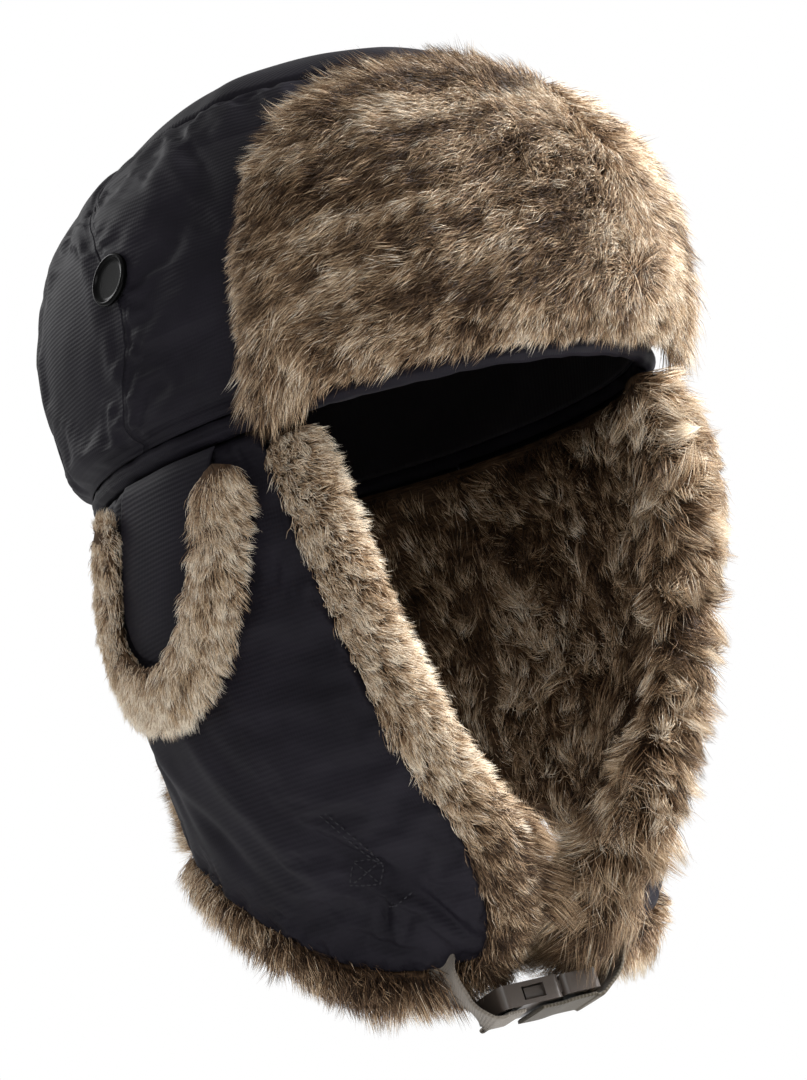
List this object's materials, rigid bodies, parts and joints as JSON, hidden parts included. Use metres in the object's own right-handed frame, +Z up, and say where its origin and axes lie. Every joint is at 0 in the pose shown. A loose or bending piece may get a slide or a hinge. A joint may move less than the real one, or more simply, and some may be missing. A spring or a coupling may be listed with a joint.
{
  "type": "trapper hat",
  "caption": "Trapper hat with a ribbed cloth crown, a turned-up fur forehead flap, fur-lined ear flaps with ear port flaps, a neck curtain and a buckled chin strap.",
  "frame": {"origin": "centre of the head opening, in the plane of the crown's hem", "axes": "+Z up through the crown, -Y towards the face, +X towards the wearer's left"},
  "size_m": [0.2201, 0.2753, 0.3478],
  "materials": {
    "shell_cloth": "fine ribbed nylon",
    "fur": "long pile fake fur, brown with tan tips",
    "wadding": "polyester wadding",
    "lining": "quilted satin",
    "band": "brushed knit",
    "webbing": "woven webbing",
    "button_plastic": "polished",
    "buckle_plastic": "moulded satin",
    "elastic": "braided elastic",
    "label": "woven blank tape"
  },
  "bodies": {
    "crown": {"crown_front_panel": "shell_cloth", "crown_back_panel": "shell_cloth", "crown_top_panel": "shell_cloth", "crown_wadding": "wadding", "crown_lining": "lining", "sweatband": "band", "size_label": "label", "hem_roll": "shell_cloth", "side_button_right": "button_plastic", "side_button_left": "button_plastic", "button_back_right": "button_plastic", "button_back_left": "button_plastic", "neck_curtain_shell": "shell_cloth", "neck_curtain_wadding": "wadding", "neck_curtain_fur": "fur", "neck_curtain_edge": "fur"},
    "forehead_flap": {"forehead_flap_backing": "shell_cloth", "forehead_flap_fur": "fur"},
    "ear_flap_right": {"ear_flap_right_shell": "shell_cloth", "ear_flap_right_wadding": "wadding", "ear_flap_right_fur": "fur", "ear_flap_right_edge": "fur", "chin_strap_right": "webbing", "buckle_socket": "buckle_plastic"},
    "ear_flap_left": {"ear_flap_left_shell": "shell_cloth", "ear_flap_left_wadding": "wadding", "ear_flap_left_fur": "fur", "ear_flap_left_edge": "fur"},
    "port_flap_right": {"port_flap_right_shell": "shell_cloth", "port_flap_right_fur": "fur", "port_flap_right_loop": "elastic"},
    "port_flap_left": {"port_flap_left_shell": "shell_cloth", "port_flap_left_fur": "fur", "port_flap_left_loop": "elastic"},
    "buckle_plug": {"chin_strap_left": "webbing", "buckle_plug": "buckle_plastic"}
  },
  "joints": [
    {"name": "forehead_fold", "type": "hinge", "parent": "crown", "child": "forehead_flap", "pos_m": [0, -0.114, 0.004], "axis": [1, 0, 0], "range_deg": [0, 95]},
    {"name": "ear_flap_right_fold", "type": "hinge", "parent": "crown", "child": "ear_flap_right", "pos_m": [-0.099, 0, -0.0005], "axis": [0, 1, 0], "range_deg": [0, 100]},
    {"name": "ear_flap_left_fold", "type": "hinge", "parent": "crown", "child": "ear_flap_left", "pos_m": [0.099, 0, -0.0005], "axis": [0, -1, 0], "range_deg": [0, 100]},
    {"name": "port_flap_right_fold", "type": "hinge", "parent": "ear_flap_right", "child": "port_flap_right", "pos_m": [-0.1075, 0, -0.002], "axis": [0, -1, 0], "range_deg": [-150, 0]},
    {"name": "port_flap_left_fold", "type": "hinge", "parent": "ear_flap_left", "child": "port_flap_left", "pos_m": [0.1075, 0, -0.002], "axis": [0, 1, 0], "range_deg": [-150, 0]},
    {"name": "buckle_release", "type": "slide", "parent": "ear_flap_left", "child": "buckle_plug", "axis": [1, 0, 0], "range_m": [0, 0.022]}
  ]
}
